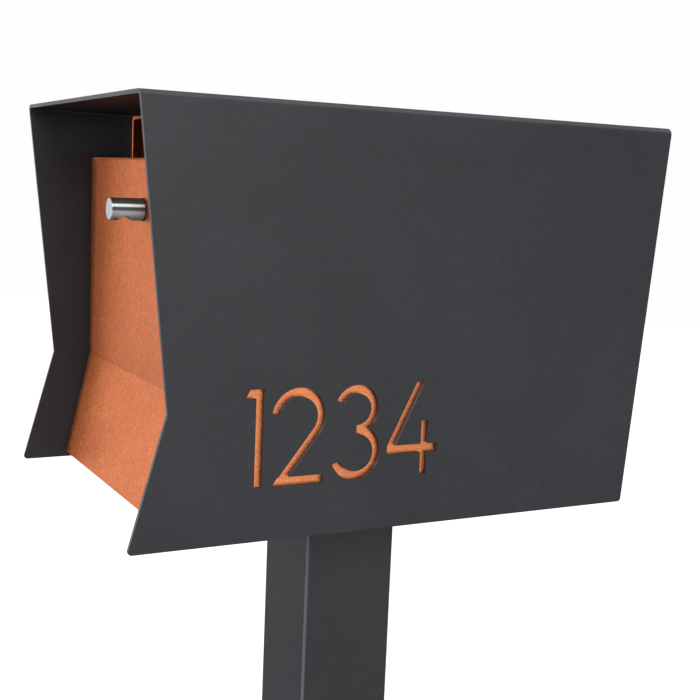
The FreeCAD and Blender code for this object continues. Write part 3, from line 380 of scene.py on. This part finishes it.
zinc_finish = plated_steel("zinc_plate", (0.50, 0.50, 0.46), (0.60, 0.62, 0.66), 0.36)
paint(zinc_finish, "shell_studs", "stud_nuts", "floor_nuts", "back_nuts", "hinge_studs", "hinge_nuts")
paint(zinc_finish, "catch_screws", "catch_nuts", "strike_plates")
paint(zinc_finish, "mounting_bolts", "bolt_washers", "mounting_nuts")

nylon_finish = moulded("black_nylon", (0.018, 0.018, 0.019), (0.026, 0.026, 0.028), 0.48, 700.0)
paint(nylon_finish, "catch_bodies", "stud_spacers")

magnet_finish = moulded("ground_ferrite", (0.06, 0.06, 0.065), (0.09, 0.09, 0.095), 0.40, 1500.0)
paint(magnet_finish, "catch_magnets")


# ---- floor, light and camera ---------------------------------------------------------------
# A pale floor runs into a white backdrop, which light nothing. Soft lights stand left of the
# door, ahead of it, high beside the number and low behind it, and two narrow spots pick out
# the knob and the lip of the letter slot. The sky is dim, and dimmer from below.

STAGE_REACH = 12.0          # metres from the post to the floor's edges, just past the backdrop
bpy.ops.mesh.primitive_plane_add(size=2 * STAGE_REACH, location=(0.0, 0.0, 0.0))
ground = bpy.context.object
ground.name = "studio_floor"
ground_finish, ground_tree, ground_shader = new_finish("pale_floor")
ground_tone = noise(ground_tree, stretched(ground_tree, (1.0, 1.0, 1.0)), 2.0, 2.0)
pale = blend_tones(ground_tree, ground_tone, (0.90, 0.90, 0.90), (0.92, 0.92, 0.92))
ground_tree.links.new(pale, ground_shader.inputs["Base Color"])
ground_shader.inputs["Roughness"].default_value = 0.9
ground_shader.inputs["Specular IOR Level"].default_value = 0.1
ground_shader.inputs["Emission Color"].default_value = (1.0, 1.0, 1.0, 1.0)
ground_shader.inputs["Emission Strength"].default_value = 0.75
ground.data.materials.append(ground_finish)

bpy.ops.mesh.primitive_uv_sphere_add(
    segments=48, ring_count=24, radius=STAGE_REACH - 0.1, location=(0.0, 0.0, 0.0))
backdrop = bpy.context.object
backdrop.name = "studio_backdrop"
backdrop_finish, backdrop_tree, backdrop_shader = new_finish("white_backdrop")
backdrop_tone = noise(backdrop_tree, stretched(backdrop_tree, (1.0, 1.0, 1.0)), 0.3, 2.0)
white = blend_tones(backdrop_tree, backdrop_tone, (0.985, 0.985, 0.985), (0.995, 0.995, 0.995))
backdrop_tree.links.new(white, backdrop_shader.inputs["Emission Color"])
backdrop_shader.inputs["Emission Strength"].default_value = 1.0
backdrop_shader.inputs["Base Color"].default_value = (0.0, 0.0, 0.0, 1.0)
backdrop_shader.inputs["Specular IOR Level"].default_value = 0.0
backdrop.data.materials.append(backdrop_finish)
for stage_piece in (ground, backdrop):
    stage_piece.visible_diffuse = False
    stage_piece.visible_glossy = False
    stage_piece.visible_shadow = False

sky = bpy.data.worlds.new("studio_sky")
sky.use_nodes = True
sky_tree = sky.node_tree
sky_parts = split(sky_tree, sky_tree.nodes.new("ShaderNodeTexCoord").outputs["Generated"])
sky_tone = sky_tree.nodes.new("ShaderNodeValToRGB")
sky_tone.color_ramp.elements[0].position = 0.40
sky_tone.color_ramp.elements[0].color = (0.10, 0.10, 0.10, 1.0)
sky_tone.color_ramp.elements[1].position = 0.60
sky_tone.color_ramp.elements[1].color = (0.50, 0.50, 0.50, 1.0)
sky_tree.links.new(mapped(sky_tree, sky_parts["Z"], -1.0, 1.0), sky_tone.inputs["Fac"])
sky_tree.links.new(sky_tone.outputs["Color"], sky_tree.nodes["Background"].inputs["Color"])
bpy.context.scene.world = sky
bpy.context.scene.view_settings.view_transform = "Standard"

box_low, box_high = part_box("outer_shell")
door_low, door_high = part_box("front_door")
door_middle = (door_low + door_high) / 2


def soft_light(name, place, width, height, watts, target):
    """A rectangular soft light at a place, turned to a target."""
    bpy.ops.object.light_add(type="AREA", location=place)
    lamp = bpy.context.object
    lamp.name = name
    lamp.data.shape = "RECTANGLE"
    lamp.data.size = width
    lamp.data.size_y = height
    lamp.data.energy = watts
    lamp.rotation_euler = (target - Vector(place)).to_track_quat("-Z", "Y").to_euler()


def narrow_spot(name, direction, distance, beam, watts, target):
    """A spot whose beam, so many metres wide at its target, comes from a direction."""
    bpy.ops.object.light_add(type="SPOT", location=target + direction.normalized() * distance)
    lamp = bpy.context.object
    lamp.name = name
    lamp.data.spot_size = 2 * math.atan(beam / 2 / distance)
    lamp.data.spot_blend = 0.6
    lamp.data.shadow_soft_size = 0.01
    lamp.data.energy = watts
    lamp.rotation_euler = (-direction).to_track_quat("-Z", "Y").to_euler()


number_middle = Vector((box_high.x, box_low.y / 2, box_low.z))
side_top = Vector((box_high.x, box_low.y / 2, box_high.z))
soft_light("left_window", (-2.6, -1.6, 1.35), width=2.6, height=2.2, watts=10.0, target=door_middle)
soft_light("front_fill", (-0.8, -2.7, 1.35), width=1.2, height=1.0, watts=27.0, target=door_middle)
soft_light("side_key", (2.5, -0.35, 2.0), width=1.4, height=1.4, watts=46.0, target=side_top)
soft_light("low_back_fill", (1.8, 0.65, 0.8), width=1.0, height=0.8, watts=3.6, target=number_middle)

LIP_INSET = 0.002           # the middle of the slot's left lip, from the liner's side
LIP_DEPTH = 0.102           # and behind the shell's foremost corners
liner_low, liner_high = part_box("liner")
slot_height = (door_high.z + liner_high.z) / 2
slot_lip = Vector((liner_low.x + LIP_INSET, box_low.y + LIP_DEPTH, slot_height))
knob_flank = (knob_low + knob_high) / 2 + Vector(((knob_high.x - knob_low.x) / 4, 0.0, 0.0))
narrow_spot("knob_spot", Vector((0.70, -0.66, 0.16)), distance=1.0,
            beam=0.032, watts=60.0, target=knob_flank)
narrow_spot("lip_spot", Vector((0.20, -0.97, 0.02)), distance=1.5,
            beam=0.055, watts=60.0, target=slot_lip)

# the camera's place from the top sheet's front edge, and its direction
CAMERA_FROM_EDGE = Vector((0.9834, -0.2687, -0.0589))
CAMERA_TURN = math.radians(61.65)
CAMERA_RISE = math.radians(7.93)
CAMERA_ROLL = math.radians(2.42)
CAMERA_LENS = 61.85
SHELL_TOE = 0.00305         # the shell's lower front corners stand this far ahead of that edge

front_edge = Vector((0.0, box_low.y + SHELL_TOE, box_high.z))
towards_camera = Vector((
    math.sin(CAMERA_TURN) * math.cos(CAMERA_RISE),
    -math.cos(CAMERA_TURN) * math.cos(CAMERA_RISE),
    math.sin(CAMERA_RISE),
))
level_right = (-towards_camera).cross(Vector((0.0, 0.0, 1.0))).normalized()
level_up = level_right.cross(-towards_camera)
right = level_right * math.cos(CAMERA_ROLL) + level_up * math.sin(CAMERA_ROLL)
up = level_up * math.cos(CAMERA_ROLL) - level_right * math.sin(CAMERA_ROLL)
bpy.ops.object.camera_add()
camera = bpy.context.object
camera.name = "camera"
camera.data.lens = CAMERA_LENS
camera.data.sensor_width = 36.0
turn = Matrix((right, up, towards_camera)).transposed()
camera.matrix_world = Matrix.Translation(front_edge + CAMERA_FROM_EDGE) @ turn.to_4x4()
bpy.context.scene.camera = camera
